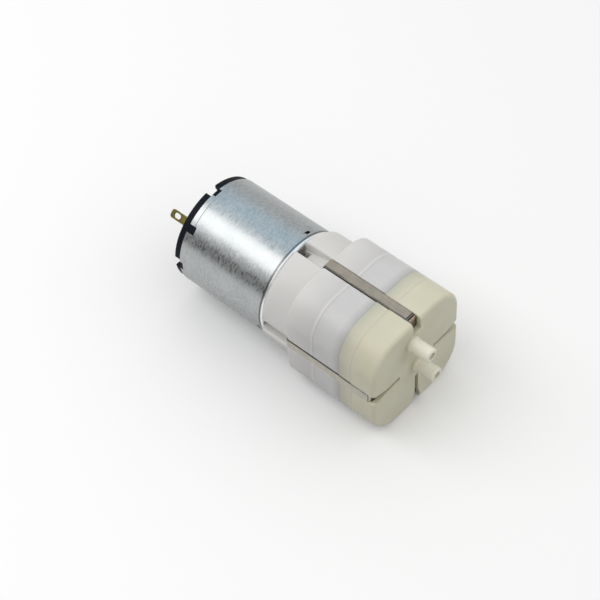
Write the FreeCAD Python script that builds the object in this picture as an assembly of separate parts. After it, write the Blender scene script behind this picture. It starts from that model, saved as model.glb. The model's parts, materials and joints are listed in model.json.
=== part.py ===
import FreeCAD, Part
import math
import os

# Sizes are in millimetres and degrees. X runs along the pump's axis towards the nozzles, Z is up as it lies,
# and the origin is on the axis at the middle of the can's straight wall.

# Motor can
can_radius = 16.0
can_length = 30.3
can_wall = 1.0
can_corner = 1.1
boss_radius = 4.0
boss_height = 2.0
boss_wall = 0.8
magnet_stop_width = 2.2
magnet_stop_height = 0.9
magnet_stop_lip = 0.5
magnet_stop_setback = 2.95
magnet_stop_inset = 3.5

# Fits and clearances
fit_gap = 0.02
slip_gap = 0.06
running_gap = 0.03
end_play = 0.15
air_gap = 0.6
brush_gap = 0.3

# Shaft, bushes and armature
shaft_radius = 1.0
bush_radius = 3.1
core_length = 14.0
core_hub = 3.4
pole_arm_width = 2.4
pole_tip_depth = 1.2
pole_tip_span = 61.0
coil_thickness = 1.1
coil_inner = 4.3
coil_overhang = 2.2
commutator_radius = 3.0
commutator_wall = 0.7
commutator_length = 5.2
segment_span = 66.0
pole_count = 5
washer_radius = 2.2
washer_thickness = 0.4
magnet_span = 136.0
magnet_thickness = 3.24

# End cap, terminals and brushes
cap_length = 2.05
cap_inset = 0.25
cap_edge = 0.25
cap_notch_width = 3.6
cap_notch_depth = 3.1
cap_spigot_length = 2.9
cap_spigot_wall = 2.2
cap_boss_radius = 4.6
cap_boss_height = 1.2
cap_collar_radius = 4.0
cap_collar_height = 1.0
key_width = 2.65
key_depth = 1.1
long_key_width = 2.35
long_key_depth = 2.4
terminal_angle = 135.0
terminal_inset = 3.7
terminal_width = 2.5
terminal_thickness = 0.5
terminal_length = 6.9
terminal_hole_width = 1.5
terminal_hole_length = 2.3
terminal_hole_edge = 1.1
terminal_corner = 0.7
brush_arm_thickness = 0.3
brush_arm_width = 2.2
brush_arm_offset = 4.9
brush_arm_end = 1.6
brush_length = 2.8
brush_width = 2.4
magnet_brush_gap = 0.6

# Pump case
foot_rim = 1.0
foot_length = 9.8
foot_floor = 3.4
foot_wall = 1.8
foot_edge = 1.2
foot_slot_width = 3.8
foot_slot_depth = 4.2
foot_slot_edge = 0.8
foot_pocket_width = 3.0
foot_pocket_length = 2.6
foot_pocket_depth = 2.4
case_step = 0.1
case_edge = 0.4
case_corner = 9.7
case_depth = 9.0
case_wall = 1.7
case_ledge = 1.6
screw_radius = 1.3
screw_head_radius = 2.3
screw_head_height = 1.5
screw_inset = 6.5
screw_angles = (45.0, 225.0)
screw_tail = 1.9
screw_slot_width = 0.6
screw_slot_depth = 0.8

# Diaphragm holder and diaphragm
holder_depth = 8.9
holder_edge = 0.3
holder_rim = 1.2
holder_rim_wall = 0.9
chamber_radius = 5.5
chamber_wall = 3.4
flange_thickness = 0.8
flange_overlap = 1.2
cup_gap = 0.5
cup_wall = 0.7
cup_foot_radius = 3.6
cup_belly = 0.35

# Valve plate and valves
plate_depth = 4.0
recess_depth = 1.3
recess_rim = 0.8
valve_disc_radius = 3.2
valve_disc_thickness = 0.6
valve_stem_radius = 0.9
valve_bulb_radius = 1.35
valve_bulb_length = 1.6
inlet_hole_radius = 0.6
inlet_hole_ring = 2.0
inlet_hole_spread = 70.0
outlet_hole_radius = 0.55
outlet_hole_inset = 1.4
outlet_hole_spread = 7.0
outlet_disc_thickness = 0.8
outlet_stem_radius = 1.3
outlet_bulb_radius = 1.9
outlet_bulb_length = 1.5
peg_radius = 0.9
peg_height = 1.2
peg_inset = 1.9
peg_angle = 14.0

# Cover, nozzles and seals
cover_depth = 7.9
cover_edge = 1.2
outlet_chamber_rim = 0.5
divider_wall = 0.9
gallery_gap = 0.2
gallery_width = 3.5
cavity_depth = 3.2
seal_width = 0.7
seal_depth = 0.7
seal_margin = 0.1
nozzle_length = 6.8
nozzle_radius = 2.1
nozzle_bore = 1.1
nozzle_root = 0.3
nozzle_root_height = 0.9
nozzle_root_cone = 0.5
nozzle_tip_round = 0.35
inlet_y = -2.2
inlet_drop = 6.6

# Spring clips
clip_width = 3.0
clip_thickness = 0.6
clip_side_gap = 0.3
clip_snug_gap = 0.1
clip_slot_depth = 0.75
clip_back_gap = 0.1
clip_sink = 1.4
clip_bend = 0.9
clip_leg = 7.45
clip_short_leg = 2.55
clip_hook = 2.8
groove_run_out = 2.8
groove_long_run_out = 4.1
groove_short_run_out = 0.3

# Crank and rocker
tilt = 6.5
tilt_direction = 45.0
pin_radius = 1.0
pin_end_gap = 0.4
pin_seat = 3.4
crank_flange_radius = 6.0
crank_flange_height = 1.4
crank_radius = 4.6
crank_floor_gap = 0.6
crank_top_gap = 0.35
shaft_pin_gap = 0.5
rocker_drop = 2.6
rocker_thickness = 2.0
rocker_hub_radius = 2.3
rocker_hub_length = 5.3
rocker_cap_height = 3.4
rocker_web_radius = 4.4
rocker_arm_width = 4.0
rocker_pad_radius = 2.7
stem_radius = 1.25
stem_knob_radius = 1.9
stem_knob_length = 1.7
foot_neck_radius = 2.5
foot_neck_height = 2.1
foot_disc_height = 1.4
rocker_recess_gap = 0.9

V = FreeCAD.Vector
centre = V(0, 0, 0)
forward = V(1, 0, 0)
beyond = 10.0
sides = {"right": 0.0, "top": 90.0, "left": 180.0, "bottom": 270.0}
lobes = (45.0, 135.0, 225.0, 315.0)

# Stations along the axis, from the can's back rim to the nozzle tips
rear = -(can_length - can_corner) / 2
front = rear + can_length
foot_end = front + foot_length
case_end = foot_end + case_depth
holder_end = case_end + holder_depth
plate_end = holder_end + plate_depth
cover_end = plate_end + cover_depth
cap_back = rear - cap_length

# Radii and places that follow from the sizes above
can_inner = can_radius - can_wall
cap_radius = can_radius - cap_inset
foot_radius = can_radius + foot_rim
case_half = foot_radius + case_step
corner_reach = (case_half - case_corner) * math.sqrt(2) + case_corner
chamber_ring = corner_reach - chamber_wall - chamber_radius
slot_floor = case_half - clip_slot_depth
slot_width = clip_width + 2 * clip_side_gap
snug_slot_width = clip_width + 2 * clip_snug_gap
foot_slot_floor = foot_radius - foot_slot_depth
clip_outer = slot_floor + clip_back_gap + clip_thickness
terminal_reach = can_radius - terminal_inset
screw_reach = can_radius - screw_inset
peg_reach = case_half - peg_inset
inlet_z = case_half - inlet_drop
pivot = case_end - rocker_drop
bush_length = can_wall + boss_height - boss_wall
rear_bush_end = rear + cap_collar_height
rear_bush_start = rear_bush_end - bush_length
commutator_start = rear_bush_end + end_play + washer_thickness
brush_mid = commutator_start + commutator_length / 2
magnet_front = front - magnet_stop_setback - magnet_stop_lip - fit_gap
magnet_rear = brush_mid + brush_width / 2 + magnet_brush_gap
magnet_inner = can_inner - slip_gap - magnet_thickness
core_radius = magnet_inner - air_gap
core_start = (magnet_front + magnet_rear - core_length) / 2
core_end = core_start + core_length
tip_inner = core_radius - pole_tip_depth
stop_spread = magnet_span / 2 - magnet_stop_inset


def spot(x, reach, angle):
    turn = math.radians(angle)
    return V(x, reach * math.cos(turn), reach * math.sin(turn))


# A round bar along the axis, or a tube when it has an inner radius.
def tube(start, length, outer, inner=0.0):
    body = Part.makeCylinder(outer, length, V(start, 0, 0), forward)
    if inner:
        body = body.cut(Part.makeCylinder(inner, length, V(start, 0, 0), forward))
    return body


# A round bar parallel to the axis, at a distance and an angle from it.
def rod(start, length, radius, reach, angle):
    return Part.makeCylinder(radius, length, spot(start, reach, angle), forward)


# A box whose depth runs out from the axis at an angle, and whose width is square to that.
def block(start, end, low, high, width, angle=0.0, shift=0.0):
    box = Part.makeBox(end - start, high - low, width, V(start, low, shift - width / 2))
    box.rotate(centre, forward, angle)
    return box


# A turned piece, from points (x, radius) in order, turned through a span about the axis.
def turned(points, span=360.0, angle=0.0):
    corners = [V(x, radius, 0) for x, radius in points]
    face = Part.Face(Part.makePolygon(corners + corners[:1]))
    piece = face.revolve(centre, forward, span)
    piece.rotate(centre, forward, angle)
    return piece


def arc_piece(start, length, inner, outer, span, angle):
    end = start + length
    points = [(start, inner), (end, inner), (end, outer), (start, outer)]
    return turned(points, span, angle - span / 2)


def lengthways(edge):
    return abs(edge.tangentAt(edge.FirstParameter).x) > 0.99


def at_outside(edge):
    return math.hypot(edge.CenterOfMass.y, edge.CenterOfMass.z) > foot_radius - 0.2


def square(start, length, half, corner):
    box = Part.makeBox(length, 2 * half, 2 * half, V(start, -half, -half))
    return box.makeFillet(corner, [e for e in box.Edges if lengthways(e)])


def joined(pieces):
    return pieces[0].multiFuse(pieces[1:]).removeSplitter()


def without(shape, pieces):
    return shape.cut(pieces)


def rims(shape, x, radius):
    found = []
    for edge in shape.Edges:
        if isinstance(edge.Curve, Part.Circle):
            near = abs(edge.Curve.Center.x - x) < 0.01
            if near and abs(edge.Curve.Radius - radius) < 0.01:
                found.append(edge)
    return found


def all_sides(start, end, low, high, width):
    return [block(start, end, low, high, width, angle) for angle in sides.values()]


def at_lobes(make):
    return [make(angle) for angle in lobes]


# Puts a piece made square to the axis into the tilted frame of the rocker.
tilt_turn = math.radians(tilt_direction)
tilt_axis = V(0, -math.sin(tilt_turn), math.cos(tilt_turn))
pivot_point = V(pivot, 0, 0)


def tilted(shape):
    leaning = shape.copy()
    leaning.rotate(pivot_point, tilt_axis, tilt)
    return leaning


def tilted_point(point):
    return FreeCAD.Rotation(tilt_axis, tilt).multVec(point - pivot_point) + pivot_point


# Motor can: a drawn cup with a bush boss in front, key slots at its rim and lanced magnet stops
def make_motor_can():
    can = tube(rear, can_length, can_radius)
    can = can.makeFillet(can_corner, rims(can, front, can_radius))
    boss = tube(front - can_wall, can_wall + boss_height, boss_radius)
    can = joined([can.cut(tube(rear, can_length - can_wall, can_inner)), boss])
    bush_seat = tube(front - can_wall, bush_length, bush_radius + fit_gap)
    shaft_hole = tube(front, boss_height, shaft_radius + boss_wall)
    cuts = [bush_seat, shaft_hole]
    key_gap = 2 * fit_gap
    far = can_radius + beyond
    cuts += all_sides(rear, rear + key_depth, can_inner - 1, far, key_width + key_gap)
    lips = []
    stop = front - magnet_stop_setback
    for pole in (terminal_angle, terminal_angle + 180):
        wide = long_key_width + key_gap
        cuts.append(block(rear, rear + long_key_depth, can_inner - 1, far, wide, pole))
        for side in (-stop_spread, stop_spread):
            angle = pole + side
            opening = block(stop, stop + magnet_stop_height, can_inner - 1, far, magnet_stop_width, angle)
            middle = stop + magnet_stop_height / 2
            round_end = Part.makeCylinder(magnet_stop_width / 2, far, V(middle, 0, 0), spot(0, 1, angle))
            cuts.append(opening.common(round_end))
            lips.append(block(stop - magnet_stop_lip, stop, can_inner - can_wall, can_inner + can_wall / 2,
                              magnet_stop_width, angle))
    for angle in screw_angles:
        cuts.append(rod(front - can_wall, can_wall, screw_radius + fit_gap, screw_reach, angle))
    return joined([without(can, cuts)] + lips)


def make_magnet(angle):
    length = magnet_front - magnet_rear
    return arc_piece(magnet_rear, length, magnet_inner, can_inner - slip_gap, magnet_span, angle)


def make_bush(start):
    return tube(start, bush_length, bush_radius, shaft_radius + running_gap)


# End cap: a moulded plug with keys in the can's rim, a bush boss and slots for the terminals
def make_end_cap():
    plate = tube(cap_back, cap_length, cap_radius)
    plate = plate.makeChamfer(cap_edge, rims(plate, cap_back, cap_radius))
    plug_radius = can_inner - slip_gap
    plug = tube(rear, cap_spigot_length, plug_radius, plug_radius - cap_spigot_wall)
    collar = tube(rear, cap_collar_height, cap_collar_radius)
    boss = tube(cap_back - cap_boss_height, cap_boss_height, cap_boss_radius)
    boss = boss.makeChamfer(cap_edge, rims(boss, cap_back - cap_boss_height, cap_boss_radius))
    keys = all_sides(rear, rear + key_depth - fit_gap, plug_radius - 1, can_radius + 1, key_width)
    for angle in (terminal_angle, terminal_angle + 180):
        keys.append(block(rear, rear + long_key_depth - fit_gap, plug_radius - 1, can_radius + 1,
                          long_key_width, angle))
    trim = tube(rear, cap_spigot_length, can_radius)
    keys = [key.common(trim) for key in keys]
    cap = joined([plate, plug, collar, boss] + keys)
    floor = can_radius - cap_notch_depth
    cuts = all_sides(cap_back, rear, floor, can_radius + 1, cap_notch_width)
    cuts.append(tube(rear_bush_start, bush_length, bush_radius + fit_gap))
    for angle in (terminal_angle, terminal_angle + 180):
        cuts.append(block(cap_back, rear, terminal_reach - terminal_thickness / 2 - fit_gap,
                          terminal_reach + terminal_thickness / 2 + fit_gap,
                          terminal_width + 2 * fit_gap, angle))
    return without(cap, cuts)


def make_terminal(angle):
    low = terminal_reach - terminal_thickness / 2
    high = terminal_reach + terminal_thickness / 2
    tip = cap_back - terminal_length
    tab = block(tip, brush_mid + brush_arm_width / 2, low, high, terminal_width)
    outer_corners = [e for e in tab.Edges
                     if abs(e.tangentAt(e.FirstParameter).y) > 0.99 and e.CenterOfMass.x < tip + 0.01]
    tab = tab.makeFillet(terminal_corner, outer_corners)
    hole_start = tip + terminal_hole_edge + terminal_hole_width / 2
    hole_end = hole_start + terminal_hole_length - terminal_hole_width
    ends = [Part.makeCylinder(terminal_hole_width / 2, beyond, V(x, low - 1, 0), V(0, 1, 0))
            for x in (hole_start, hole_end)]
    middle = block(hole_start, hole_end, low - 1, high + 1, terminal_hole_width)
    tab = without(tab, ends + [middle])
    tab.rotate(centre, forward, angle)
    return tab


def make_brush_arm(angle):
    start = brush_mid - brush_arm_width / 2
    end = brush_mid + brush_arm_width / 2
    high = terminal_reach - terminal_thickness / 2
    far = brush_arm_offset + brush_arm_thickness / 2
    near = -terminal_width / 2
    foot = block(start, end, high - brush_arm_thickness, high, far - near, angle, (far + near) / 2)
    blade = block(start, end, -brush_arm_end, high, brush_arm_thickness, angle, brush_arm_offset)
    return joined([foot, blade])


def make_brush(angle):
    far = brush_arm_offset - brush_arm_thickness / 2
    brush = block(brush_mid - brush_width / 2, brush_mid + brush_width / 2, -brush_length / 2,
                  brush_length / 2, far, angle, far / 2)
    return brush.cut(tube(brush_mid - brush_width, 2 * brush_width, commutator_radius + brush_gap))


# Armature: laminated core with coils, a commutator, spacers and the shaft
def make_core():
    pieces = [tube(core_start, core_length, core_hub)]
    for count in range(pole_count):
        angle = count * 360 / pole_count
        pieces.append(block(core_start, core_end, 0, core_radius - pole_tip_depth / 2, pole_arm_width, angle))
        pieces.append(arc_piece(core_start, core_length, tip_inner, core_radius, pole_tip_span, angle))
    return joined(pieces).cut(tube(core_start, core_length, shaft_radius + fit_gap))


def make_windings():
    lining = 0.1
    coils = []
    half = pole_arm_width / 2 + lining + coil_thickness
    outer = math.sqrt(tip_inner ** 2 - half ** 2) - lining
    for count in range(pole_count):
        angle = count * 360 / pole_count
        coil = block(core_start - coil_overhang, core_end + coil_overhang, coil_inner, outer, 2 * half, angle)
        inside = block(core_start - lining, core_end + lining, coil_inner - 1, outer + 1,
                       pole_arm_width + 2 * lining, angle)
        coils.append(coil.cut(inside))
    return Part.makeCompound(coils)


def make_commutator():
    inner = commutator_radius - commutator_wall
    return Part.makeCompound([
        arc_piece(commutator_start, commutator_length, inner, commutator_radius, segment_span,
                  count * 360 / pole_count)
        for count in range(pole_count)])


def make_commutator_base():
    seat = commutator_radius - commutator_wall - fit_gap
    end = commutator_start + commutator_length
    base = joined([tube(commutator_start, commutator_length, seat), tube(end, core_start - end, core_hub)])
    return base.cut(tube(commutator_start, core_start - commutator_start, shaft_radius + fit_gap))


def make_washer():
    return tube(rear_bush_end + end_play, washer_thickness, washer_radius, shaft_radius + fit_gap)


def make_spacer():
    length = front - can_wall - end_play - core_end
    return tube(core_end, length, washer_radius, shaft_radius + fit_gap)


# The crank carries a leaning pin whose line meets the motor's axis at the pivot of the rocker
crank_start = front + foot_floor + crank_floor_gap
lean = math.radians(tilt)
rocker_low = rocker_hub_length * math.cos(lean) + rocker_hub_radius * math.sin(lean)
crank_end = pivot - rocker_low - crank_top_gap
pin_low = (pivot - crank_end) / math.cos(lean) + pin_seat
pin_high = rocker_cap_height - rocker_hub_radius / 2 + pin_radius / 2 - pin_end_gap
pin_base = pivot - pin_low * math.cos(lean) - pin_radius * math.sin(lean)
shaft_end = pin_base - shaft_pin_gap
shaft_start = rear_bush_start + end_play


def make_shaft():
    return tube(shaft_start, shaft_end - shaft_start, shaft_radius)


def make_crank():
    points = [(crank_start, 0), (crank_end, 0), (crank_end, crank_radius),
              (crank_start + crank_flange_height, crank_radius),
              (crank_start + crank_flange_height, crank_flange_radius), (crank_start, crank_flange_radius)]
    shaft_hole = tube(crank_start, shaft_end - crank_start, shaft_radius + fit_gap)
    pin_hole = tilted(tube(pivot - pin_low, pin_low, pin_radius + fit_gap))
    return without(turned(points), [shaft_hole, pin_hole])


def make_crank_pin():
    return tilted(tube(pivot - pin_low, pin_low + pin_high, pin_radius))


def make_rocker():
    low = pivot - rocker_thickness / 2
    pieces = [tube(pivot - rocker_hub_length, rocker_hub_length + rocker_cap_height, rocker_hub_radius),
              tube(low, rocker_thickness, rocker_web_radius)]
    for angle in lobes:
        pieces.append(block(low, low + rocker_thickness, 0, chamber_ring, rocker_arm_width, angle))
        pieces.append(rod(low, rocker_thickness, rocker_pad_radius, chamber_ring, angle))
    rocker = joined(pieces)
    rocker = rocker.makeFillet(0.6, rims(rocker, pivot + rocker_cap_height, rocker_hub_radius))
    depth = rocker_hub_length + pin_high + pin_end_gap
    cuts = [tube(pivot - rocker_hub_length, depth, pin_radius + running_gap)]
    for angle in lobes:
        cuts.append(rod(low, rocker_thickness, stem_radius + fit_gap, chamber_ring, angle))
    return tilted(without(rocker, cuts))


foot_top = pivot + rocker_thickness / 2 + foot_neck_height + foot_disc_height


# The solid foot of one diaphragm cup, with the knob that holds it in the rocker's arm
def make_foot(angle):
    low = pivot - rocker_thickness / 2
    high = pivot + rocker_thickness / 2
    points = [(low - stem_knob_length, 0), (low - stem_knob_length, stem_radius * 0.8),
              (low - stem_knob_length / 2, stem_knob_radius), (low, stem_knob_radius), (low, stem_radius),
              (high, stem_radius), (high, foot_neck_radius), (high + foot_neck_height, cup_foot_radius),
              (foot_top, cup_foot_radius), (foot_top, 0)]
    foot = turned(points)
    foot.translate(spot(0, chamber_ring, angle))
    return tilted(foot)


def cup_ring(radius, place, share):
    ring = Part.Wire(Part.makeCircle(radius, place, forward))
    ring.rotate(place, tilt_axis, tilt * share)
    return ring


# Diaphragm: a clamped flange with four cups, each lofted down to its own foot
def make_diaphragm():
    flange_low = holder_end - flange_thickness
    flange_radius = chamber_radius + flange_overlap
    plate = [tube(flange_low, flange_thickness, chamber_ring)]
    plate += at_lobes(lambda a: rod(flange_low, flange_thickness, flange_radius, chamber_ring, a))
    diaphragm = joined(plate)
    top_radius = chamber_radius - cup_gap
    walls = []
    mouths = [tube(flange_low, flange_thickness, outlet_bulb_radius + cup_gap)]
    for angle in lobes:
        top = spot(flange_low, chamber_ring, angle)
        base = tilted_point(spot(foot_top, chamber_ring, angle))
        middle = (top + base) / 2
        belly = (top_radius + cup_foot_radius) / 2 + cup_belly
        layers = []
        for inset in (0, cup_wall):
            rings = [cup_ring(cup_foot_radius - inset, base, 1), cup_ring(belly - inset, middle, 0.5),
                     cup_ring(top_radius - inset, top, 0)]
            layers.append(Part.makeLoft(rings, True, False))
        walls.append(layers[0].cut(layers[1]))
        mouths.append(rod(flange_low, flange_thickness, top_radius - cup_wall, chamber_ring, angle))
    return joined([without(diaphragm, mouths)] + walls)


# One layer of the head's stack, square with rounded corners and a clip slot down each side. The edge round
# one of its faces can be rounded.
def layer(start, depth, slot, face_x=0.0, edge=0.0):
    body = square(start, depth, case_half, case_corner)
    if edge:
        body = body.makeFillet(edge, [e for e in body.Edges if e.BoundBox.XLength < edge
                                      and abs(e.CenterOfMass.x - face_x) < edge / 2])
    return without(body, all_sides(start, start + depth, slot_floor, case_half + 1, slot))


# The case's walls behind its clip slots, grown by a gap where another piece fits round them.
def case_ribs(gap):
    return all_sides(foot_end, case_end, slot_floor - case_wall - gap, case_half + 1,
                     slot_width + 2 * (case_wall + gap))


# Pump case: the round foot on the motor and the square head round the rocker, in one moulding
def make_pump_case():
    foot = tube(front, foot_length, foot_radius)
    foot = foot.makeFillet(foot_edge, rims(foot, front, foot_radius))
    far = case_half + 1
    foot = without(foot, all_sides(front, foot_end, foot_slot_floor, far, foot_slot_width))
    foot = foot.makeFillet(foot_slot_edge, [e for e in foot.Edges if lengthways(e) and at_outside(e)])
    case = joined([foot, layer(foot_end, case_depth, slot_width, foot_end, case_edge)])
    foot_space = tube(front + foot_floor, foot_length - foot_floor + case_ledge, foot_radius - foot_wall)
    ribs = all_sides(front, case_end, foot_slot_floor - foot_wall, far, foot_slot_width + 2 * foot_wall)
    cuts = [without(foot_space, ribs)]
    case_space = square(foot_end + case_ledge, case_depth - case_ledge, case_half - case_wall,
                        case_corner - case_wall)
    cuts.append(without(case_space, case_ribs(0)))
    cuts += all_sides(front, front + foot_pocket_length, foot_slot_floor - foot_pocket_depth,
                      foot_slot_floor + 1, foot_pocket_width)
    cuts.append(tube(front, foot_floor, boss_radius + slip_gap))
    for angle in screw_angles:
        cuts.append(rod(front, foot_floor, screw_radius + slip_gap, screw_reach, angle))
    return without(case, cuts)


def make_screw(angle):
    seat = front + foot_floor
    length = foot_floor + can_wall + screw_tail
    shank = rod(seat - length, length, screw_radius, screw_reach, angle)
    head = rod(seat, screw_head_height, screw_head_radius, screw_reach, angle)
    head = head.makeFillet(screw_head_height / 2, rims(head, seat + screw_head_height, screw_head_radius))
    top = seat + screw_head_height
    arm = screw_head_radius * 0.6
    across = block(top - screw_slot_depth, top, screw_reach - arm, screw_reach + arm, screw_slot_width, angle)
    along = block(top - screw_slot_depth, top, screw_reach - screw_slot_width / 2,
                  screw_reach + screw_slot_width / 2, 2 * arm, angle)
    return without(joined([shank, head]), [across, along])


def pegs(start, radius, height):
    return [rod(start, height, radius, peg_reach, angle) for angle in (peg_angle, peg_angle + 180)]


def make_holder():
    holder = layer(case_end, holder_depth, slot_width, case_end, holder_edge)
    inner = case_half - case_wall - slip_gap
    corner = case_corner - case_wall - slip_gap
    rim = square(case_end - holder_rim, holder_rim, inner, corner)
    rim = rim.cut(square(case_end - holder_rim, holder_rim, inner - holder_rim_wall,
                         corner - holder_rim_wall))
    rim = without(rim, case_ribs(slip_gap))
    holder = joined([holder, rim] + pegs(holder_end, peg_radius, peg_height))
    flange_low = holder_end - flange_thickness
    cap_top = pivot + rocker_cap_height + rocker_recess_gap
    cuts = at_lobes(lambda a: rod(case_end, holder_depth, chamber_radius, chamber_ring, a))
    cuts += at_lobes(lambda a: rod(flange_low, flange_thickness, chamber_radius + flange_overlap + slip_gap,
                                   chamber_ring, a))
    cuts.append(tube(flange_low, flange_thickness, chamber_ring + slip_gap))
    cuts.append(tube(case_end, cap_top - case_end, rocker_hub_radius + 2 * rocker_recess_gap))
    bulb = outlet_bulb_length + cup_gap
    cuts.append(tube(holder_end - bulb, bulb, outlet_bulb_radius + cup_gap))
    return without(holder, cuts)


# Radii of the inlet gallery over the inlet valves, and of the outlet chamber inside its wall
gallery_inner = chamber_ring - valve_bulb_radius - gallery_gap
gallery_outer = gallery_inner + gallery_width
outlet_chamber = gallery_inner - divider_wall
outlet_disc_radius = outlet_chamber - outlet_chamber_rim
outlet_hole_ring = outlet_chamber - outlet_hole_inset
outlet_seal_inner = outlet_chamber + seal_margin
cover_seal_inner = gallery_outer + seal_margin


def make_valve_plate():
    plate = joined([layer(holder_end, plate_depth, snug_slot_width)] + pegs(plate_end, peg_radius, peg_height))
    cuts = pegs(holder_end, peg_radius + slip_gap, peg_height + slip_gap)
    for angle in lobes:
        cuts.append(rod(holder_end, recess_depth, chamber_radius - recess_rim, chamber_ring, angle))
        cuts.append(rod(holder_end, plate_depth, valve_stem_radius + fit_gap, chamber_ring, angle))
        for side in (-outlet_hole_spread, outlet_hole_spread):
            cuts.append(rod(holder_end, plate_depth, outlet_hole_radius, outlet_hole_ring, angle + side))
        for side in (-inlet_hole_spread, 0, inlet_hole_spread):
            hole = rod(holder_end, plate_depth, inlet_hole_radius, 0, 0)
            hole.translate(spot(0, chamber_ring, angle) + spot(0, inlet_hole_ring, angle + side))
            cuts.append(hole)
    cuts.append(tube(holder_end, plate_depth, outlet_stem_radius + fit_gap))
    for inner in (outlet_seal_inner, cover_seal_inner):
        cuts.append(tube(plate_end - seal_depth, seal_depth, inner + seal_width + fit_gap, inner - fit_gap))
    return without(plate, cuts)


def make_seal(inner):
    return tube(plate_end - seal_depth, seal_depth, inner + seal_width, inner)


# Umbrella valve: a thin disc on a stem that is pulled through the plate and held by its bulb
def make_inlet_valve(angle):
    seat = holder_end + recess_depth
    bulb = plate_end + valve_bulb_length
    points = [(seat - valve_disc_thickness, 0), (seat - valve_disc_thickness, valve_stem_radius),
              (seat - valve_disc_thickness / 3, valve_disc_radius), (seat, valve_disc_radius),
              (seat, valve_stem_radius), (plate_end, valve_stem_radius), (plate_end, valve_bulb_radius),
              (plate_end + valve_bulb_length / 3, valve_bulb_radius), (bulb, valve_stem_radius / 2),
              (bulb, 0)]
    valve = turned(points)
    valve.translate(spot(0, chamber_ring, angle))
    return valve


def make_outlet_valve():
    bulb = holder_end - outlet_bulb_length
    top = plate_end + outlet_disc_thickness
    points = [(bulb, 0), (bulb, outlet_stem_radius / 2),
              (holder_end - outlet_bulb_length / 3, outlet_bulb_radius), (holder_end, outlet_bulb_radius),
              (holder_end, outlet_stem_radius), (plate_end, outlet_stem_radius),
              (plate_end, outlet_disc_radius), (plate_end + outlet_disc_thickness / 3, outlet_disc_radius),
              (top, outlet_stem_radius), (top, 0)]
    return turned(points)


def make_nozzle():
    end = cover_end + nozzle_length
    shoulder = cover_end + nozzle_root_height
    root = nozzle_radius + nozzle_root
    base = cover_end - cavity_depth
    points = [(base, 0), (end, 0), (end, nozzle_radius), (shoulder + nozzle_root_cone, nozzle_radius),
              (shoulder, root), (base, root)]
    nozzle = turned(points)
    return nozzle.makeFillet(nozzle_tip_round, rims(nozzle, end, nozzle_radius))


def make_head_cover():
    body = layer(plate_end, cover_depth, snug_slot_width, cover_end, cover_edge)
    groove = cover_end - clip_sink - clip_thickness
    leg_start = clip_outer - clip_leg
    short_start = clip_outer - clip_short_leg
    inner_ends = {"right": leg_start - groove_run_out, "top": short_start - groove_short_run_out,
                  "left": leg_start - groove_run_out, "bottom": leg_start - groove_long_run_out}
    body = without(body, [block(groove, cover_end, inner_ends[side], case_half + 1, snug_slot_width,
                                sides[side]) for side in sides])
    inlet = make_nozzle()
    inlet.translate(V(0, inlet_y, inlet_z))
    cover = joined([body, make_nozzle(), inlet])
    bore_start = plate_end + cavity_depth / 2
    bore_length = cover_end + nozzle_length - bore_start
    inlet_bore = tube(bore_start, bore_length, nozzle_bore)
    inlet_bore.translate(V(0, inlet_y, inlet_z))
    cuts = [tube(plate_end, cavity_depth, outlet_chamber),
            tube(plate_end, cavity_depth, gallery_outer, gallery_inner),
            tube(bore_start, bore_length, nozzle_bore), inlet_bore]
    cuts += pegs(plate_end, peg_radius + slip_gap, peg_height + slip_gap)
    return without(cover, cuts)


# Spring clip: a flat strip down the side, hooked under the head's step and folded over the cover's face
def make_clip(angle, leg):
    hook_start = foot_end - clip_thickness
    leg_end = cover_end - clip_sink
    side = block(hook_start, leg_end, clip_outer - clip_thickness, clip_outer, clip_width)
    face_leg = block(leg_end - clip_thickness, leg_end, clip_outer - leg, clip_outer, clip_width)
    hook = block(hook_start, foot_end, clip_outer - clip_hook, clip_outer, clip_width)
    clip = joined([side, face_leg, hook])
    inner = clip_outer - clip_thickness
    for depth, places, size in ((clip_outer, (hook_start, leg_end), clip_bend),
                                (inner, (foot_end, leg_end - clip_thickness), clip_back_gap)):
        edges = [e for e in clip.Edges
                 if abs(e.tangentAt(e.FirstParameter).z) > 0.99 and abs(e.CenterOfMass.y - depth) < 0.01
                 and min(abs(e.CenterOfMass.x - x) for x in places) < 0.01]
        clip = clip.makeFillet(size, edges)
    clip.rotate(centre, forward, angle)
    return clip


os.makedirs("parts", exist_ok=True)
nodes = {
    "motor_can": make_motor_can(),
    "magnet_upper": make_magnet(terminal_angle),
    "magnet_lower": make_magnet(terminal_angle + 180),
    "front_bush": make_bush(front - can_wall),
    "rear_bush": make_bush(rear_bush_start),
    "end_cap": make_end_cap(),
    "terminal_upper": make_terminal(terminal_angle),
    "terminal_lower": make_terminal(terminal_angle + 180),
    "brush_arm_upper": make_brush_arm(terminal_angle),
    "brush_arm_lower": make_brush_arm(terminal_angle + 180),
    "brush_upper": make_brush(terminal_angle),
    "brush_lower": make_brush(terminal_angle + 180),
    "pump_case": make_pump_case(),
    "case_screw_1": make_screw(screw_angles[0]),
    "case_screw_2": make_screw(screw_angles[1]),
    "diaphragm_holder": make_holder(),
    "diaphragm": make_diaphragm(),
    "valve_plate": make_valve_plate(),
    "outlet_valve": make_outlet_valve(),
    "outlet_seal": make_seal(outlet_seal_inner),
    "cover_seal": make_seal(cover_seal_inner),
    "head_cover": make_head_cover(),
    "motor_shaft": make_shaft(),
    "armature_core": make_core(),
    "armature_windings": make_windings(),
    "commutator": make_commutator(),
    "commutator_base": make_commutator_base(),
    "thrust_washer": make_washer(),
    "shaft_spacer": make_spacer(),
    "crank": make_crank(),
    "crank_pin": make_crank_pin(),
    "rocker": make_rocker(),
}
for number, angle in enumerate(lobes, 1):
    nodes["inlet_valve_%d" % number] = make_inlet_valve(angle)
    nodes["cup_foot_%d" % number] = make_foot(angle)
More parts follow.
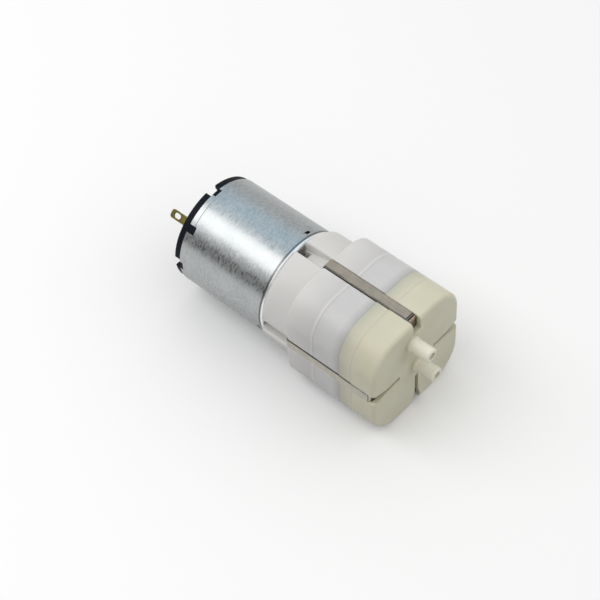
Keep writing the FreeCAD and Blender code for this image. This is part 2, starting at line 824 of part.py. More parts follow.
for side, angle in sides.items():
    nodes["clip_" + side] = make_clip(angle, clip_short_leg if side == "top" else clip_leg)
for name, shape in nodes.items():
    shape.exportStep("parts/%s.step" % name)
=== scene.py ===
import bpy
import bmesh
import json
import math
from mathutils import Matrix, Vector


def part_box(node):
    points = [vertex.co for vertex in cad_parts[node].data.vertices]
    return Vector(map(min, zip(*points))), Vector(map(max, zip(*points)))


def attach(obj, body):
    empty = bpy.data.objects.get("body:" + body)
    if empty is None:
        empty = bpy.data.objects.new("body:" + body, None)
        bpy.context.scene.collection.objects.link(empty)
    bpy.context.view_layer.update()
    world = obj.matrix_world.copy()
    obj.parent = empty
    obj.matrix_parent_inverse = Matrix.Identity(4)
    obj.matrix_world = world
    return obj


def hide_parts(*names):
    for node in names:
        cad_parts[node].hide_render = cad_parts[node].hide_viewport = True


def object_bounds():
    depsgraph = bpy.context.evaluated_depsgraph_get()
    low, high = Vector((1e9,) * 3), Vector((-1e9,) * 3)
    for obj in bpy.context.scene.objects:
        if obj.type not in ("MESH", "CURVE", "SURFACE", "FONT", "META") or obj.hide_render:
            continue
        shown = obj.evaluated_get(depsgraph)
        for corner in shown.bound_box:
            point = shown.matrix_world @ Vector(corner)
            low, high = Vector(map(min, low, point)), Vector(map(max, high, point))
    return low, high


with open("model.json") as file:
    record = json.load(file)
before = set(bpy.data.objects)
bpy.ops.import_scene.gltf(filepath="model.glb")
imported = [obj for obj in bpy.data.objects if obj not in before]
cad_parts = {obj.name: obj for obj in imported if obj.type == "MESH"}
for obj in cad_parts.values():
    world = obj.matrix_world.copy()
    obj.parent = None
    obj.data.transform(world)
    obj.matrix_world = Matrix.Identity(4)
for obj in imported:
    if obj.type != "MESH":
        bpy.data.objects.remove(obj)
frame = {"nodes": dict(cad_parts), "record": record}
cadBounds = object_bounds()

mm = 0.001
housing = "housing"
origin = Vector((0, 0, 0))
alongX = Vector((1, 0, 0))
sideAngles = {"right": 0, "top": 90, "left": 180, "bottom": 270}
lobeAngles = (45, 135, 225, 315)


def span(node, axis=0):
    low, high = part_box(node)
    return low[axis] / mm, high[axis] / mm


lengths = {"nozzle": 6.8, "capFlange": 2.05, "foot": 9.8}  # millimetres along the axis
# places along the axis in millimetres, read from the solid model
place = {
    "canRear": span("motor_can")[0],
    "caseRear": span("pump_case")[0],
    "caseFront": span("pump_case")[1],
    "holderFront": span("valve_plate")[0],
    "plateFront": span("head_cover")[0],
    "tipFront": span("head_cover")[1],
    "clipRear": span("clip_left")[0],
    "clipFront": span("clip_left")[1],
    "capBoss": span("end_cap")[0],
    "terminalTip": span("terminal_upper")[0],
    "terminalRoot": span("terminal_upper")[1],
}
place["coverFront"] = place["tipFront"] - lengths["nozzle"]
place["capRear"] = place["canRear"] - lengths["capFlange"]
place["ledge"] = place["caseRear"] + lengths["foot"]
headHalf = span("pump_case", 1)[1]
canRadius = span("motor_can", 2)[1]


def around(angle):
    # like all the mesh helpers, it turns about the pump's axis; they take millimetres and make metres
    return Matrix.Rotation(math.radians(angle), 4, "X")


def blockMesh(bm, start, end, low, high, width, angle=0, shift=0):
    made = bmesh.ops.create_cube(bm, size=1)["verts"]
    size = Vector((end - start, high - low, width)) * mm
    middle = Vector(((start + end) / 2, (low + high) / 2, shift)) * mm
    matrix = around(angle) @ Matrix.Translation(middle) @ Matrix.Diagonal(size).to_4x4()
    bmesh.ops.transform(bm, matrix=matrix, verts=made)
    return made


def rodMesh(bm, start, end, radius, reach=0, angle=0, steps=48):
    turn = Matrix.Rotation(math.radians(90), 4, "Y")
    middle = Vector(((start + end) / 2, reach, 0)) * mm
    matrix = around(angle) @ Matrix.Translation(middle) @ turn
    made = bmesh.ops.create_cone(bm, cap_ends=True, segments=steps, radius1=radius * mm,
                                 radius2=radius * mm, depth=(end - start) * mm, matrix=matrix)
    return made["verts"]


def turnedMesh(bm, profile, steps=96, closed=True):
    # profile holds (x, radius, rounding) and is spun about the axis
    verts = [bm.verts.new((x * mm, radius * mm, 0)) for x, radius, _ in profile]
    pairs = list(zip(verts, verts[1:])) + ([(verts[-1], verts[0])] if closed else [])
    edges = [bm.edges.new(pair) for pair in pairs]
    bmesh.ops.spin(bm, geom=verts + edges, cent=origin, axis=alongX, angle=math.tau, steps=steps,
                   use_merge=True)
    bmesh.ops.remove_doubles(bm, verts=bm.verts, dist=1e-7)
    for x, radius, rounding in profile:
        if rounding:
            bevelEdges(bm, ringEdges(bm, x, radius), rounding, 6)


def ringEdges(bm, x, radius):
    def onRing(vert):
        return (abs(vert.co.x - x * mm) < 2e-6
                and abs(math.hypot(vert.co.y, vert.co.z) - radius * mm) < 2e-6)
    return [e for e in bm.edges if onRing(e.verts[0]) and onRing(e.verts[1])]


def bevelEdges(bm, edges, width, segments=2, affect="EDGES"):
    bmesh.ops.bevel(bm, geom=edges, offset=width * mm, offset_type="OFFSET", segments=segments,
                    profile=0.5, affect=affect, material=-1, clamp_overlap=True)


def sharpEdges(bm, degrees=40):
    limit = math.radians(degrees)
    return [e for e in bm.edges if len(e.link_faces) == 2 and e.calc_face_angle(0) > limit]


def growFace(bm, start, end):
    # the last face made at start grows along the axis to end
    face = [f for f in bm.faces if all(abs(v.co.x - start * mm) < 1e-7 for v in f.verts)][-1]
    grown = bmesh.ops.extrude_face_region(bm, geom=[face])["geom"]
    moved = [g for g in grown if isinstance(g, bmesh.types.BMVert)]
    bmesh.ops.translate(bm, verts=moved, vec=Vector((end - start, 0, 0)) * mm)
    return moved


def squareMesh(bm, start, end, half, corner, slot=None):
    # a rounded square, with a slot in the middle of each side where slot gives its floor and width
    points = []
    for angle in sideAngles.values():
        if slot:
            wide = slot["width"] / 2
            side = [(half, -wide, "lip"), (slot["floor"], -wide, "root"), (slot["floor"], wide, "root"),
                    (half, wide, "lip")]
        else:
            side = []
        for out, across, kind in side + [(half, half, "corner")]:
            points.append((around(angle) @ Vector((start, out, across)), kind))
    verts = [bm.verts.new(point * mm) for point, _ in points]
    face = bm.faces.new(verts)
    corners = [v for v, (_, kind) in zip(verts, points) if kind == "corner"]
    lips = [v for v, (_, kind) in zip(verts, points) if kind == "lip"]
    bevelEdges(bm, corners, corner, 24, "VERTICES")
    if lips:
        bevelEdges(bm, lips, slot["lip"], 4, "VERTICES")
    growFace(bm, start, end)
    bmesh.ops.recalc_face_normals(bm, faces=bm.faces)


def bladeMesh(bm, start, size, path):
    # a flat strip: its end face is grown along straight runs and turned through bends
    made = bmesh.ops.create_grid(bm, x_segments=1, y_segments=1, size=0.5)["verts"]
    turn = Matrix.Rotation(math.radians(90), 4, "X")
    scale = Matrix.Diagonal((size[0] * mm, 1, size[1] * mm, 1))
    bmesh.ops.transform(bm, matrix=Matrix.Translation(Vector(start) * mm) @ scale @ turn, verts=made)
    face = bm.faces[:][0]
    for kind, value, centre in path:
        if kind == "run":
            grown = bmesh.ops.extrude_face_region(bm, geom=[face])["geom"]
            moved = [g for g in grown if isinstance(g, bmesh.types.BMVert)]
            bmesh.ops.translate(bm, verts=moved, vec=Vector(value) * mm)
        else:
            grown = bmesh.ops.spin(bm, geom=[face], cent=Vector(centre) * mm, axis=(0, 0, 1),
                                   angle=math.radians(value), steps=8)["geom_last"]
        face = [g for g in grown if isinstance(g, bmesh.types.BMFace)][0]
    bmesh.ops.remove_doubles(bm, verts=bm.verts, dist=1e-8)
    inner = [f for f in bm.faces if all(len(e.link_faces) > 2 for e in f.edges)]  # left between two runs
    bmesh.ops.delete(bm, geom=inner, context="FACES_ONLY")
    bmesh.ops.recalc_face_normals(bm, faces=bm.faces)


def meshObject(name, bm):
    mesh = bpy.data.meshes.new(name)
    bm.to_mesh(mesh)
    bm.free()
    made = bpy.data.objects.new(name, mesh)
    bpy.context.scene.collection.objects.link(made)
    return made


def combine(shape, tool, operation="DIFFERENCE"):
    # shape is a bmesh, and so is the tool; the result is a new bmesh
    base, other = meshObject("baseShape", shape), meshObject("toolShape", tool)
    step = base.modifiers.new("combine", "BOOLEAN")
    step.operation, step.object, step.solver = operation, other, "EXACT"
    step.use_self = True
    bpy.context.view_layer.update()
    result = bmesh.new()
    result.from_mesh(base.evaluated_get(bpy.context.evaluated_depsgraph_get()).to_mesh())
    for extra in (base, other):
        bpy.data.objects.remove(extra, do_unlink=True)
    bmesh.ops.remove_doubles(result, verts=result.verts, dist=1e-7)
    return result


def shadeMesh(bm, degrees=32):
    limit = math.radians(degrees)
    for face in bm.faces:
        face.smooth = True
    for edge in bm.edges:
        edge.smooth = not (len(edge.link_faces) == 2 and edge.calc_face_angle(0) > limit)


def finishPiece(name, bm, material, nodes, soften=0):
    bmesh.ops.recalc_face_normals(bm, faces=bm.faces)
    shadeMesh(bm)
    piece = meshObject(name, bm)
    piece.data.materials.append(material)
    if soften:
        soft = piece.modifiers.new("softEdges", "BEVEL")
        soft.width, soft.segments, soft.limit_method = soften * mm, 2, "ANGLE"
        soft.angle_limit = math.radians(50)
        soft.miter_outer = "MITER_ARC"
    even = piece.modifiers.new("evenShading", "WEIGHTED_NORMAL")
    even.keep_sharp = True
    even.weight = 60
    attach(piece, housing)
    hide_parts(*nodes)
    print("piece made:", name, len(piece.data.polygons), "faces")


class NodeTools:
    # short ways to add nodes to a material or to the world

    def __init__(self, tree):
        self.nodes, self.links = tree.nodes, tree.links

    def feed(self, socket, value):
        # a value is a socket to link, a number or a colour
        if isinstance(value, bpy.types.NodeSocket):
            self.links.new(value, socket)
        else:
            socket.default_value = value

    def ramp(self, value, stops):
        ramp = self.nodes.new("ShaderNodeValToRGB")
        elements = ramp.color_ramp.elements
        while len(elements) < len(stops):
            elements.new(0.5)
        for element, (position, colour) in zip(elements, stops):
            element.position = position
            element.color = (*colour, 1)
        self.links.new(value, ramp.inputs["Fac"])
        return ramp.outputs["Color"]

    def remap(self, value, low, high, start=0.3, end=0.7, kind="LINEAR"):
        change = self.nodes.new("ShaderNodeMapRange")
        change.interpolation_type = kind
        for key, number in (("From Min", start), ("From Max", end), ("To Min", low), ("To Max", high)):
            change.inputs[key].default_value = number
        self.links.new(value, change.inputs["Value"])
        return change.outputs["Result"]

    def mix(self, share, first, second):
        mix = self.nodes.new("ShaderNodeMix")
        mix.data_type = "RGBA"
        for index, value in ((0, share), (6, first), (7, second)):
            self.feed(mix.inputs[index], (*value, 1) if isinstance(value, tuple) else value)
        return mix.outputs[2]

    def maths(self, first, second, kind="MULTIPLY"):
        node = self.nodes.new("ShaderNodeMath")
        node.operation = kind
        self.feed(node.inputs[0], first)
        self.feed(node.inputs[1], second)
        return node.outputs["Value"]


class Finish(NodeTools):
    # a material whose patterns all read the piece's own coordinates

    def __init__(self, name):
        self.material = bpy.data.materials.new(name)
        self.material.use_nodes = True
        super().__init__(self.material.node_tree)
        self.shader = self.nodes["Principled BSDF"]
        self.coords = self.nodes.new("ShaderNodeTexCoord").outputs["Object"]

    def set(self, key, value):
        self.feed(self.shader.inputs[key], value)

    def mapped(self, scale):
        mapping = self.nodes.new("ShaderNodeMapping")
        mapping.inputs["Scale"].default_value = scale
        self.links.new(self.coords, mapping.inputs["Vector"])
        return mapping.outputs["Vector"]

    def noise(self, size, detail=3.0, rough=0.5, vector=None):
        # size is the size of the noise's features in millimetres
        noise = self.nodes.new("ShaderNodeTexNoise")
        noise.inputs["Scale"].default_value = 1 / (size * mm)
        noise.inputs["Detail"].default_value = detail
        noise.inputs["Roughness"].default_value = rough
        self.links.new(vector or self.coords, noise.inputs["Vector"])
        return noise.outputs["Fac"]

    def alongAxis(self, nothing, full, axis="X", wander=0):
        # nothing and full are places in millimetres, between which the result goes from 0 to 1
        parts = self.nodes.new("ShaderNodeSeparateXYZ")
        self.links.new(self.coords, parts.inputs["Vector"])
        value = parts.outputs[axis]
        if wander:
            value = self.maths(value, self.remap(self.noise(4.0, 2), -wander * mm, wander * mm), "ADD")
        return self.remap(value, 0, 1, nothing * mm, full * mm)

    def banded(self, colour, look):
        # each band is where along the pump's axis it starts, is full, fades and has gone, and its colour
        for start, full, fading, gone, shade in look.get("bands", []):
            share = self.maths(self.alongAxis(start, full), self.alongAxis(gone, fading))
            colour = self.mix(share, colour, shade)
        return colour

    def paintEdgeShadow(self, colour, look):
        # painted shadow along one edge of a strip, where the gap beside it is in shade: its axis, where it
        # starts and is full, how far it wanders, and its colour
        if look.get("edgeShadow"):
            axis, start, full, wander, shade = look["edgeShadow"]
            colour = self.mix(self.alongAxis(start, full, axis, wander), colour, shade)
        return colour

    def bump(self, value, height, previous=None):
        bump = self.nodes.new("ShaderNodeBump")
        bump.inputs["Strength"].default_value = 1
        bump.inputs["Distance"].default_value = height * mm
        self.links.new(value, bump.inputs["Height"])
        if previous:
            self.links.new(previous, bump.inputs["Normal"])
        return bump.outputs["Normal"]


def moulded(name, look):
    finish = Finish(name)
    mottle = finish.noise(look["mottleSize"], 4)
    colour = finish.ramp(mottle, [(0.35, look["dark"]), (0.65, look["light"])])
    finish.set("Base Color", finish.banded(colour, look))
    grain = finish.noise(look["grainSize"], 2)
    finish.set("Roughness", finish.remap(finish.noise(2.4, 3), *look["roughness"]))
    swell = finish.bump(finish.noise(look["mottleSize"] * 1.5, 1), look["swell"])
    finish.set("Normal", finish.bump(grain, look["grain"], swell))
    if look.get("depth"):
        finish.set("Subsurface Weight", look["depth"])
        finish.set("Subsurface Radius", look["depthRadius"])
        finish.set("Subsurface Scale", mm)
    finish.set("Specular IOR Level", look.get("gloss", 0.5))
    return finish.material


def metal(name, look):
    finish = Finish(name)
    patches = finish.noise(look["patchSize"], 3)
    colour = finish.ramp(patches, [(0.3, look["dark"]), (0.7, look["light"])])
    streaks = finish.noise(look["streakSize"], look.get("streakDetail", 3), 0.6,
                           finish.mapped(look["streakScale"]))
    share = finish.remap(streaks, 0.0, look["streakShare"])
    colour = finish.mix(share, colour, look["streakColour"])
    finish.set("Base Color", finish.paintEdgeShadow(finish.banded(colour, look), look))
    finish.set("Metallic", 1.0)
    finish.set("Specular Tint", (*(look.get("rimTint", 1.0),) * 3, 1))
    finish.set("Roughness", finish.remap(streaks, *look["roughness"]))
    waves = finish.bump(finish.noise(look["patchSize"] * 1.3, 1), look["swell"])
    finish.set("Normal", finish.bump(streaks, look["streakHeight"], waves))
    return finish.material


zinc = metal("zincPlate", {
    "light": (0.41, 0.425, 0.43), "dark": (0.345, 0.365, 0.375), "patchSize": 5.0,
    "streakSize": 0.5, "streakScale": (1, 0.4, 0.4), "streakShare": 0.75, "streakColour": (0.52, 0.53, 0.525),
    "streakDetail": 1, "roughness": (0.24, 0.38), "streakHeight": 0.02, "swell": 0.035, "rimTint": 0.85,
    "bands": [(14.2, 14.4, 14.75, 14.95, (0.17, 0.175, 0.18)),  # a painted line of dark reflection and shade, and then a painted highlight on the corner
              (14.85, 15.05, 15.5, 15.7, (0.91, 0.91, 0.9))]})
stripGrain = {
    "patchSize": 2.5, "streakSize": 0.35, "streakScale": (0.08, 1, 1), "streakShare": 0.4,
    "roughness": (0.16, 0.27), "streakHeight": 0.002, "swell": 0.006}
# two copies of the one clip steel, each coloured for how light falls: this one for the top clip, the next for
# the side clips
nickelTopAsLit = metal("nickelStripTopAsLit", {
    **stripGrain, "light": (0.475, 0.363, 0.278), "dark": (0.387, 0.296, 0.223),
    "streakColour": (0.32, 0.244, 0.178),
    "bands": [(52.36, 52.48, 52.7, 52.8, (0.014, 0.013, 0.013)),  # painted dark reflections at the two bends, then painted shade on the leg down in its face groove
              (52.88, 52.96, 53.24, 53.34, (0.014, 0.013, 0.013)),
              (53.6, 53.8, 54.4, 54.6, (0.15, 0.13, 0.095))],
    # painted shadow along the strip's long edge, for the shaded gap beside it
    "edgeShadow": ("Y", -1.0, -1.2, 0.18, (0.17, 0.145, 0.12))})
nickelSidesAsLit = metal("nickelSidesAsLit", {
    **stripGrain, "light": (0.54, 0.515, 0.44), "dark": (0.435, 0.415, 0.355),
    "streakColour": (0.365, 0.35, 0.29),
    # painted dark reflection at the bend, then painted shade on the legs down in the face grooves
    "bands": [(52.85, 53.05, 53.1, 53.3, (0.08, 0.075, 0.07)), (53.6, 53.8, 54.4, 54.6, (0.07, 0.06, 0.05))],
    # painted shadow along the strip's upper edge, for the shaded gap above it
    "edgeShadow": ("Z", 1.08, 1.22, 0.12, (0.07, 0.06, 0.05))})
brass = metal("stampedBrass", {
    "light": (0.22, 0.19, 0.05), "dark": (0.12, 0.10, 0.025), "patchSize": 1.5,
    "streakSize": 0.25, "streakScale": (0.2, 1, 1), "streakShare": 0.4, "streakColour": (0.30, 0.27, 0.10),
    "roughness": (0.26, 0.42), "streakHeight": 0.002, "swell": 0.006})
steel = metal("turnedSteel", {
    "light": (0.66, 0.66, 0.66), "dark": (0.54, 0.54, 0.55), "patchSize": 2.0,
    "streakSize": 0.2, "streakScale": (1, 0.2, 0.2), "streakShare": 0.4, "streakColour": (0.45, 0.45, 0.46),
    "roughness": (0.2, 0.34), "streakHeight": 0.002, "swell": 0.004})
lamination = metal("stackedLaminations", {
    "light": (0.36, 0.37, 0.40), "dark": (0.24, 0.25, 0.28), "patchSize": 2.0,
    "streakSize": 0.5, "streakScale": (1, 0.02, 0.02), "streakShare": 0.8, "streakColour": (0.10, 0.10, 0.11),
    "roughness": (0.35, 0.5), "streakHeight": 0.02, "swell": 0.004})
copper = metal("enamelledCopper", {
    "light": (0.66, 0.27, 0.10), "dark": (0.48, 0.17, 0.06), "patchSize": 1.0,
    "streakSize": 0.3, "streakScale": (0.1, 1, 1), "streakShare": 0.6, "streakColour": (0.30, 0.09, 0.03),
    "roughness": (0.22, 0.4), "streakHeight": 0.03, "swell": 0.01})
commutatorCopper = metal("turnedCopper", {
    "light": (0.80, 0.45, 0.28), "dark": (0.62, 0.32, 0.18), "patchSize": 1.2,
    "streakSize": 0.2, "streakScale": (1, 0.1, 0.1), "streakShare": 0.6, "streakColour": (0.25, 0.15, 0.10),
    "roughness": (0.25, 0.4), "streakHeight": 0.004, "swell": 0.004})
bronze = metal("sinteredBronze", {
    "light": (0.52, 0.36, 0.20), "dark": (0.38, 0.25, 0.13), "patchSize": 0.4,
    "streakSize": 0.12, "streakScale": (1, 1, 1), "streakShare": 0.6, "streakColour": (0.20, 0.13, 0.07),
    "roughness": (0.45, 0.65), "streakHeight": 0.01, "swell": 0.004})

white = moulded("whiteMoulding", {
    "light": (0.725, 0.715, 0.70), "dark": (0.69, 0.68, 0.66), "mottleSize": 9.0, "grainSize": 0.22,
    "roughness": (0.42, 0.52), "grain": 0.006, "swell": 0.02,
    "depth": 0.3, "depthRadius": (1.2, 1.1, 1.0),
    "bands": [(27, 33.2, 33.5, 34.1, (0.615, 0.607, 0.592))]})  # the case darkens towards its front rim and comes back just before it
milky = moulded("milkyMoulding", {
    "light": (0.65, 0.645, 0.64), "dark": (0.615, 0.61, 0.605), "mottleSize": 10.0, "grainSize": 0.25,
    "roughness": (0.36, 0.46), "grain": 0.005, "swell": 0.02,
    "depth": 0.35, "depthRadius": (2.0, 2.0, 2.4),
    "bands": [(40.9, 43.6, 46, 47, (0.47, 0.465, 0.45))]})  # painted shade: the holder darkens towards the plate, for the shadowed inside seen through its thin edge
ivory = moulded("ivoryMoulding", {
    "light": (0.695, 0.675, 0.525), "dark": (0.66, 0.635, 0.485), "mottleSize": 9.0, "grainSize": 0.22,
    "roughness": (0.38, 0.48), "grain": 0.006, "swell": 0.02,
    "depth": 0.35, "depthRadius": (1.4, 1.2, 0.8),
    "bands": [(40, 41, 43.6, 47.4, (0.54, 0.535, 0.44)),  # the plate is darker where it meets the holder
              (55.5, 57.0, 64, 65, (0.825, 0.805, 0.68))]})  # light comes through the thin nozzles
black = moulded("blackMoulding", {
    "light": (0.007, 0.010, 0.016), "dark": (0.004, 0.006, 0.010), "mottleSize": 4.0, "grainSize": 0.2,
    "roughness": (0.46, 0.6), "grain": 0.008, "swell": 0.01, "gloss": 0.1})
nylon = moulded("nylonMoulding", {
    "light": (0.82, 0.82, 0.79), "dark": (0.76, 0.76, 0.73), "mottleSize": 3.0, "grainSize": 0.2,
    "roughness": (0.4, 0.5), "grain": 0.005, "swell": 0.01})
resin = moulded("brownResin", {
    "light": (0.30, 0.15, 0.07), "dark": (0.20, 0.09, 0.04), "mottleSize": 1.5, "grainSize": 0.15,
    "roughness": (0.4, 0.55), "grain": 0.008, "swell": 0.01})
rubber = moulded("mouldedRubber", {
    "light": (0.045, 0.045, 0.046), "dark": (0.03, 0.03, 0.031), "mottleSize": 2.0, "grainSize": 0.15,
    "roughness": (0.6, 0.75), "grain": 0.01, "swell": 0.01})
sealRubber = moulded("sealRubber", {
    "light": (0.28, 0.10, 0.07), "dark": (0.20, 0.07, 0.05), "mottleSize": 2.0, "grainSize": 0.15,
    "roughness": (0.55, 0.7), "grain": 0.01, "swell": 0.01})
ferrite = moulded("sinteredFerrite", {
    "light": (0.065, 0.065, 0.07), "dark": (0.04, 0.04, 0.045), "mottleSize": 1.5, "grainSize": 0.12,
    "roughness": (0.6, 0.75), "grain": 0.02, "swell": 0.01})
carbon = moulded("brushCarbon", {
    "light": (0.05, 0.045, 0.042), "dark": (0.03, 0.028, 0.027), "mottleSize": 0.6, "grainSize": 0.1,
    "roughness": (0.5, 0.7), "grain": 0.01, "swell": 0.005})
print("materials made")

slotFinish = {
    "zinc_steel": zinc, "ferrite": ferrite, "sintered_bronze": bronze, "black_moulding": black,
    "terminal_brass": brass, "brush_carbon": carbon, "white_moulding": white, "milky_moulding": milky,
    "ivory_moulding": ivory, "diaphragm_rubber": rubber, "valve_rubber": rubber, "seal_rubber": sealRubber,
    "clip_steel": nickelTopAsLit, "screw_steel": steel, "shaft_steel": steel, "lamination_steel": lamination,
    "enamelled_copper": copper, "commutator_copper": commutatorCopper, "brown_resin": resin,
    "nylon_washer": nylon, "rocker_moulding": nylon}
for subpart in frame["record"]["subparts"]:
    node = frame["nodes"][subpart["node"]]
    for index in range(len(node.material_slots)):
        node.material_slots[index].material = slotFinish[subpart["material_slot"]]
print("solid nodes finished:", len(frame["nodes"]))


can = {
    "wall": 1.0, "corner": 1.1, "bossRadius": 4.0, "bossHeight": 2.0, "bossEdge": 0.5,
    "bossLip": 0.8, "bossHole": 1.8, "bossBore": 3.12,
    "rimLine": 1.65, "rimLineWidth": 0.22, "rimLineDepth": 0.1,
    "edge": 0.08, "keyWidth": 2.69, "keyDepth": 1.1, "longKeyWidth": 2.39, "longKeyDepth": 2.4,
    "keyAngles": (0, 90, 180, 270), "longKeyAngles": (135, 315),
    "stopPlace": 2.95, "stopHeight": 0.95, "stopWidth": 2.3, "stopCorner": 0.42, "stopSpread": 64.5,
    "tongueWidth": 0.7, "tongueTop": 0.72, "tongueShift": 0.35, "tongueEdge": 0.15,
    "screwRadius": 1.32, "screwReach": 9.5, "screwAngles": (45, 225)}


def makeCan():
    rear, front = place["canRear"], place["caseRear"]
    inner = canRadius - can["wall"]
    line, lineRadius, half = rear + can["rimLine"], canRadius - can["rimLineDepth"], can["rimLineWidth"] / 2
    top = front + can["bossHeight"]
    lip = top - can["bossLip"]
    bm = bmesh.new()
    turnedMesh(bm, [
        (rear, inner, 0), (rear, canRadius, can["edge"]),
        (line - half, canRadius, 0), (line, lineRadius, 0), (line + half, canRadius, 0),
        (front, canRadius, can["corner"]), (front, can["bossRadius"], 0),
        (top, can["bossRadius"], can["bossEdge"]), (top, can["bossHole"], 0),
        (lip, can["bossHole"], 0), (lip, can["bossBore"], 0),
        (front - can["wall"], can["bossBore"], 0), (front - can["wall"], inner, 0)], 192)
    tools = bmesh.new()
    for angle in can["keyAngles"]:
        blockMesh(tools, rear - 1, rear + can["keyDepth"], inner - 1, canRadius + 2, can["keyWidth"], angle)
    for angle in can["longKeyAngles"]:
        blockMesh(tools, rear - 1, rear + can["longKeyDepth"], inner - 1, canRadius + 2,
                  can["longKeyWidth"], angle)
    for angle in can["screwAngles"]:
        rodMesh(tools, front - 2, front + 1, can["screwRadius"], can["screwReach"], angle)
    stop = front - can["stopPlace"]
    for pole in can["longKeyAngles"]:
        for side in (-1, 1):
            angle = pole + side * can["stopSpread"]
            made = blockMesh(tools, stop, stop + can["stopHeight"], inner - 1, canRadius + 1,
                             can["stopWidth"], angle)
            deep = [e for e in {e for v in made for e in v.link_edges}
                    if abs((around(-angle) @ (e.verts[0].co - e.verts[1].co)).y) > 1.9 * mm]
            bevelEdges(tools, deep, can["stopCorner"], 5)
    bm = combine(bm, tools)
    for pole in can["longKeyAngles"]:
        for side in (-1, 1):
            angle = pole + side * can["stopSpread"]
            made = blockMesh(bm, stop - 0.3, stop + can["stopHeight"] + 0.1, inner - 0.9,
                             inner + can["tongueTop"], can["tongueWidth"], angle, -side * can["tongueShift"])
            bevelEdges(bm, list({e for v in made for e in v.link_edges}), can["tongueEdge"], 3)
    finishPiece("canShell", bm, zinc, ["motor_can"])


makeCan()


cap = {
    "inset": 0.25, "edge": 0.25, "plugWall": 2.2, "plugLength": 2.9, "plugGap": 0.06, "bossRadius": 4.6,
    "bossEdge": 0.35, "keyGap": 0.03, "terminalGap": 0.03,
    "collarRadius": 4.0, "collarHeight": 1.0, "bushBore": 3.12, "bushDepth": 2.2,
    "notchWidth": 3.6, "notchDepth": 3.1, "keyWidth": 2.65, "longKeyWidth": 2.35,
    "panInner": 6.3, "panOuter": 14.3, "panDepth": 0.5, "ventRadius": 0.7, "ventReach": 8.6,
    "ventAngles": (35, 55, 215, 235), "padWidth": 4.6, "padDepth": 2.6,
    "terminalReach": 12.3, "terminalAngles": (135, 315)}
terminal = {"width": 2.5, "thickness": 0.5, "corner": 0.7, "holeWidth": 1.5, "holeLength": 2.3,
            "holeEdge": 1.1, "edge": 0.06}


def makeCap():
    rear, back, boss = place["canRear"], place["capRear"], place["capBoss"]
    plug, outer = canRadius - can["wall"] - cap["plugGap"], canRadius - cap["inset"]
    collar, low = rear + cap["collarHeight"], plug - 1
    bm = bmesh.new()
    turnedMesh(bm, [
        (rear + cap["plugLength"], plug, 0.2), (rear, plug, 0), (rear, outer, 0.06),
        (back, outer, cap["edge"]), (back, cap["panOuter"], 0.15),
        (back + cap["panDepth"], cap["panOuter"], 0), (back + cap["panDepth"], cap["panInner"], 0),
        (back, cap["panInner"], 0.15), (back, cap["bossRadius"], 0),
        (boss, cap["bossRadius"], cap["bossEdge"]),
        (boss, 0, 0), (collar - cap["bushDepth"], 0, 0), (collar - cap["bushDepth"], cap["bushBore"], 0),
        (collar, cap["bushBore"], 0), (collar, cap["collarRadius"], 0),
        (rear, cap["collarRadius"], 0), (rear, plug - cap["plugWall"], 0),
        (rear + cap["plugLength"], plug - cap["plugWall"], 0)], 160)
    bmesh.ops.recalc_face_normals(bm, faces=bm.faces)
    keys = bmesh.new()
    for angle in can["keyAngles"]:
        blockMesh(keys, rear - 0.3, rear + can["keyDepth"] - cap["keyGap"], low, canRadius + 1,
                  cap["keyWidth"], angle)
    for angle in can["longKeyAngles"]:
        blockMesh(keys, rear - 0.3, rear + can["longKeyDepth"] - cap["keyGap"], low, canRadius + 1,
                  cap["longKeyWidth"], angle)
    trim = bmesh.new()
    rodMesh(trim, rear - 1, rear + 4, canRadius - 0.02, 0, 0, 160)
    keys = combine(keys, trim, "INTERSECT")
    bm = combine(bm, keys, "UNION")
    pads = bmesh.new()
    reach, padHalf = cap["terminalReach"], cap["padDepth"] / 2
    slotHalf = terminal["thickness"] / 2 + cap["terminalGap"]
    for angle in cap["terminalAngles"]:
        blockMesh(pads, back - 0.02, back + 1, reach - padHalf, reach + padHalf, cap["padWidth"], angle)
    bm = combine(bm, pads, "UNION")
    tools = bmesh.new()
    for angle in can["keyAngles"]:
        blockMesh(tools, back - 1, rear, canRadius - cap["notchDepth"], canRadius + 2,
                  cap["notchWidth"], angle)
    for angle in cap["terminalAngles"]:
        blockMesh(tools, boss - 2, rear + 1, reach - slotHalf, reach + slotHalf,
                  terminal["width"] + 2 * cap["terminalGap"], angle)
    for angle in cap["ventAngles"]:
        rodMesh(tools, boss - 1, rear + 1, cap["ventRadius"], cap["ventReach"], angle, 24)
    bm = combine(bm, tools)
    finishPiece("capMoulding", bm, black, ["end_cap"], 0.08)


def makeTerminal(name, node, angle):
    tip, root = place["terminalTip"], place["terminalRoot"]
    low = cap["terminalReach"] - terminal["thickness"] / 2
    high = cap["terminalReach"] + terminal["thickness"] / 2
    bm = bmesh.new()
    blockMesh(bm, tip, root, low, high, terminal["width"])
    ends = [e for e in bm.edges if abs(e.verts[0].co.y - e.verts[1].co.y) > 0.4 * mm
            and e.verts[0].co.x < (tip + 0.1) * mm]
    bevelEdges(bm, ends, terminal["corner"], 6)
    tools = bmesh.new()
    start = tip + terminal["holeEdge"]
    blockMesh(tools, start, start + terminal["holeLength"], low - 1, high + 1, terminal["holeWidth"])
    deep = [e for e in tools.edges if abs(e.verts[0].co.y - e.verts[1].co.y) > 1 * mm]
    bevelEdges(tools, deep, terminal["holeWidth"] / 2 - 0.01, 8)
    bm = combine(bm, tools)
    bevelEdges(bm, sharpEdges(bm, 60), terminal["edge"], 2)
    bmesh.ops.transform(bm, matrix=around(angle), verts=bm.verts)
    finishPiece(name, bm, brass, [node])


makeCap()
makeTerminal("terminalTabUpper", "terminal_upper", cap["terminalAngles"][0])
makeTerminal("terminalTabLower", "terminal_lower", cap["terminalAngles"][1])


